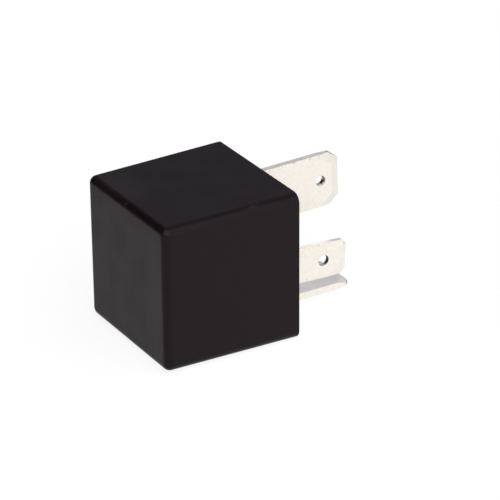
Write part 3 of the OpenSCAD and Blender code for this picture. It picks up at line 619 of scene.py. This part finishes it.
# ---- Contact spring ----
# A strip of copper alloy, riveted flat to the yoke's back, bent over the armature's heel with a
# window that softens the bend, and narrowed to a round nose under the moving contact.
spring_alloy = grained_finish(
    "spring_alloy", dark=(0.66, 0.36, 0.17, 1), pale=(0.80, 0.50, 0.27, 1),
    grain_size=0.2 * mm, patch_size=2.5 * mm, depth=0.004 * mm, rough=(0.22, 0.34), metallic=1.0)
spring = frame["nodes"]["contact_spring"].copy()
spring.data = spring.data.copy()
spring.name = "contact_spring_strip"
spring.parent = None
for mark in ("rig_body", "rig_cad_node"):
    del spring[mark]
scene.collection.objects.link(spring)
spring.data.materials.clear()
spring.data.materials.append(spring_alloy)
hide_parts("contact_spring")
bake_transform(spring)


# ---- Camera ----
# A long lens from a little above the relay, which lies on its side. It sees the closed end on the
# left, the side with blade 85 on the right, and the upper side, with the blades behind them.
view_from = Vector((-211.3, -350.0, 199.2)) * mm
view_along = Vector((0.4613, 0.7694, -0.4419))
view_roll = math.radians(-0.46)
lens = bpy.data.cameras.new("camera")
lens.sensor_width = 36
lens.lens = 198.94
lens.clip_start = 0.01
lens.clip_end = 20
camera = bpy.data.objects.new("camera", lens)
scene.collection.objects.link(camera)
turned = view_along.to_track_quat("-Z", "Y").to_matrix().to_4x4()
camera.matrix_world = Matrix.Translation(view_from) @ turned @ Matrix.Rotation(view_roll, 4, "Z")
scene.camera = camera


# ---- Studio ----
# A white table that runs far past the view, in a white room that the cap and the blades mirror: it is
# dimmer overhead and behind the relay, most of all on the left, and bright in front on the right. A
# broad lamp stands in front and above, and a small one on the right.
table_reach = 3.0
table_gap = 0.02 * mm
room_white = (1.0, 1.0, 1.0, 1)
room_cool = (1.0, 1.0, 1.2, 1)


def table_white():
    """Matt white, lit up where it is seen or mirrored, and dim in mirrors of what lies behind."""
    made = bpy.data.materials.new("table_white")
    made.use_nodes = True
    tree = made.node_tree
    tree.nodes.remove(tree.nodes["Principled BSDF"])
    matt = tree.nodes.new("ShaderNodeBsdfDiffuse")
    matt.inputs["Color"].default_value = (0.95, 0.95, 0.95, 1)
    glow = tree.nodes.new("ShaderNodeEmission")
    seen = tree.nodes.new("ShaderNodeLightPath")
    place = tree.nodes.new("ShaderNodeTexCoord").outputs["Object"]
    far_left = ramp(tree, distance_along(tree, place, (-0.51, 0.86, 0)), 70 * mm, 140 * mm)
    behind = spot(tree, place, (58, 52, -13), (52, 46, 10))
    dim = strongest(tree, behind, far_left)
    mirrored = strongest(tree, seen.outputs["Is Glossy Ray"], seen.outputs["Is Transmission Ray"])
    bright = maths(tree, "MULTIPLY_ADD", seen.outputs["Is Camera Ray"], 0.02, 1.0)
    strength = maths(tree, "SUBTRACT", bright, product(tree, dim, mirrored))
    wire(tree, strength, glow.inputs["Strength"])
    direct = strongest(tree, seen.outputs["Is Camera Ray"], mirrored)
    mixed = tree.nodes.new("ShaderNodeMixShader")
    wire(tree, product(tree, direct, 0.85), mixed.inputs[0])
    wire(tree, matt.outputs[0], mixed.inputs[1])
    wire(tree, glow.outputs[0], mixed.inputs[2])
    wire(tree, mixed.outputs[0], tree.nodes["Material Output"].inputs["Surface"])
    return made


table_mesh = bpy.data.meshes.new("table")
table_corners = [(x * table_reach, y * table_reach, cad_box[0][2] - table_gap)
                 for x, y in ((-1, -1), (1, -1), (1, 1), (-1, 1))]
table_mesh.from_pydata(table_corners, [], [(0, 1, 2, 3)])
table_mesh.materials.append(table_white())
table = bpy.data.objects.new("table", table_mesh)
scene.collection.objects.link(table)

world = bpy.data.worlds.new("studio")
world.use_nodes = True
scene.world = world
air = world.node_tree
backdrop = air.nodes["Background"]
direction = air.nodes.new("ShaderNodeTexCoord").outputs["Generated"]


def facing(toward):
    """How far a ray into the room points the given way, from -1 to 1."""
    return distance_along(air, direction, Vector(toward).normalized())


dark_corner = ramp(air, facing((-0.55, 0.70, 0.46)), 0.35, 0.90, 1.0, 0.0)
ceiling = ramp(air, facing((0, 0, 1)), 0.1, 0.8, 1.0, 0.35)
dark_side = ramp(air, facing((0.65, 0.75, -0.05)), 0.84, 0.97, 1.0, 0.2)
window = ramp(air, facing((0.46, -0.87, 0.15)), 0.93, 0.995, 0.0, 0.7)
room = maths(air, "ADD", product(air, dark_corner, dark_side, ceiling), window)
cool_wall = ramp(air, facing((0.46, 0.77, 0.44)), 0.3, 0.9)
wire(air, blend_colour(air, cool_wall, room_white, room_cool), backdrop.inputs["Color"])
eye = air.nodes.new("ShaderNodeLightPath").outputs["Is Camera Ray"]
wire(air, strongest(air, room, eye), backdrop.inputs["Strength"])


def soft_light(name, place, size, power):
    """A round lamp that points at the relay."""
    lamp = bpy.data.lights.new(name, "AREA")
    lamp.shape = "DISK"
    lamp.size = size
    lamp.energy = power
    light = bpy.data.objects.new(name, lamp)
    light.location = place
    light.rotation_euler = (-Vector(place)).to_track_quat("-Z", "Y").to_euler()
    scene.collection.objects.link(light)


soft_light("key", (-0.16, -0.49, 0.62), 1.2, 8.4)
soft_light("side", (0.72, -0.08, 0.30), 0.4, 1.2)

scene.view_settings.view_transform = "Standard"
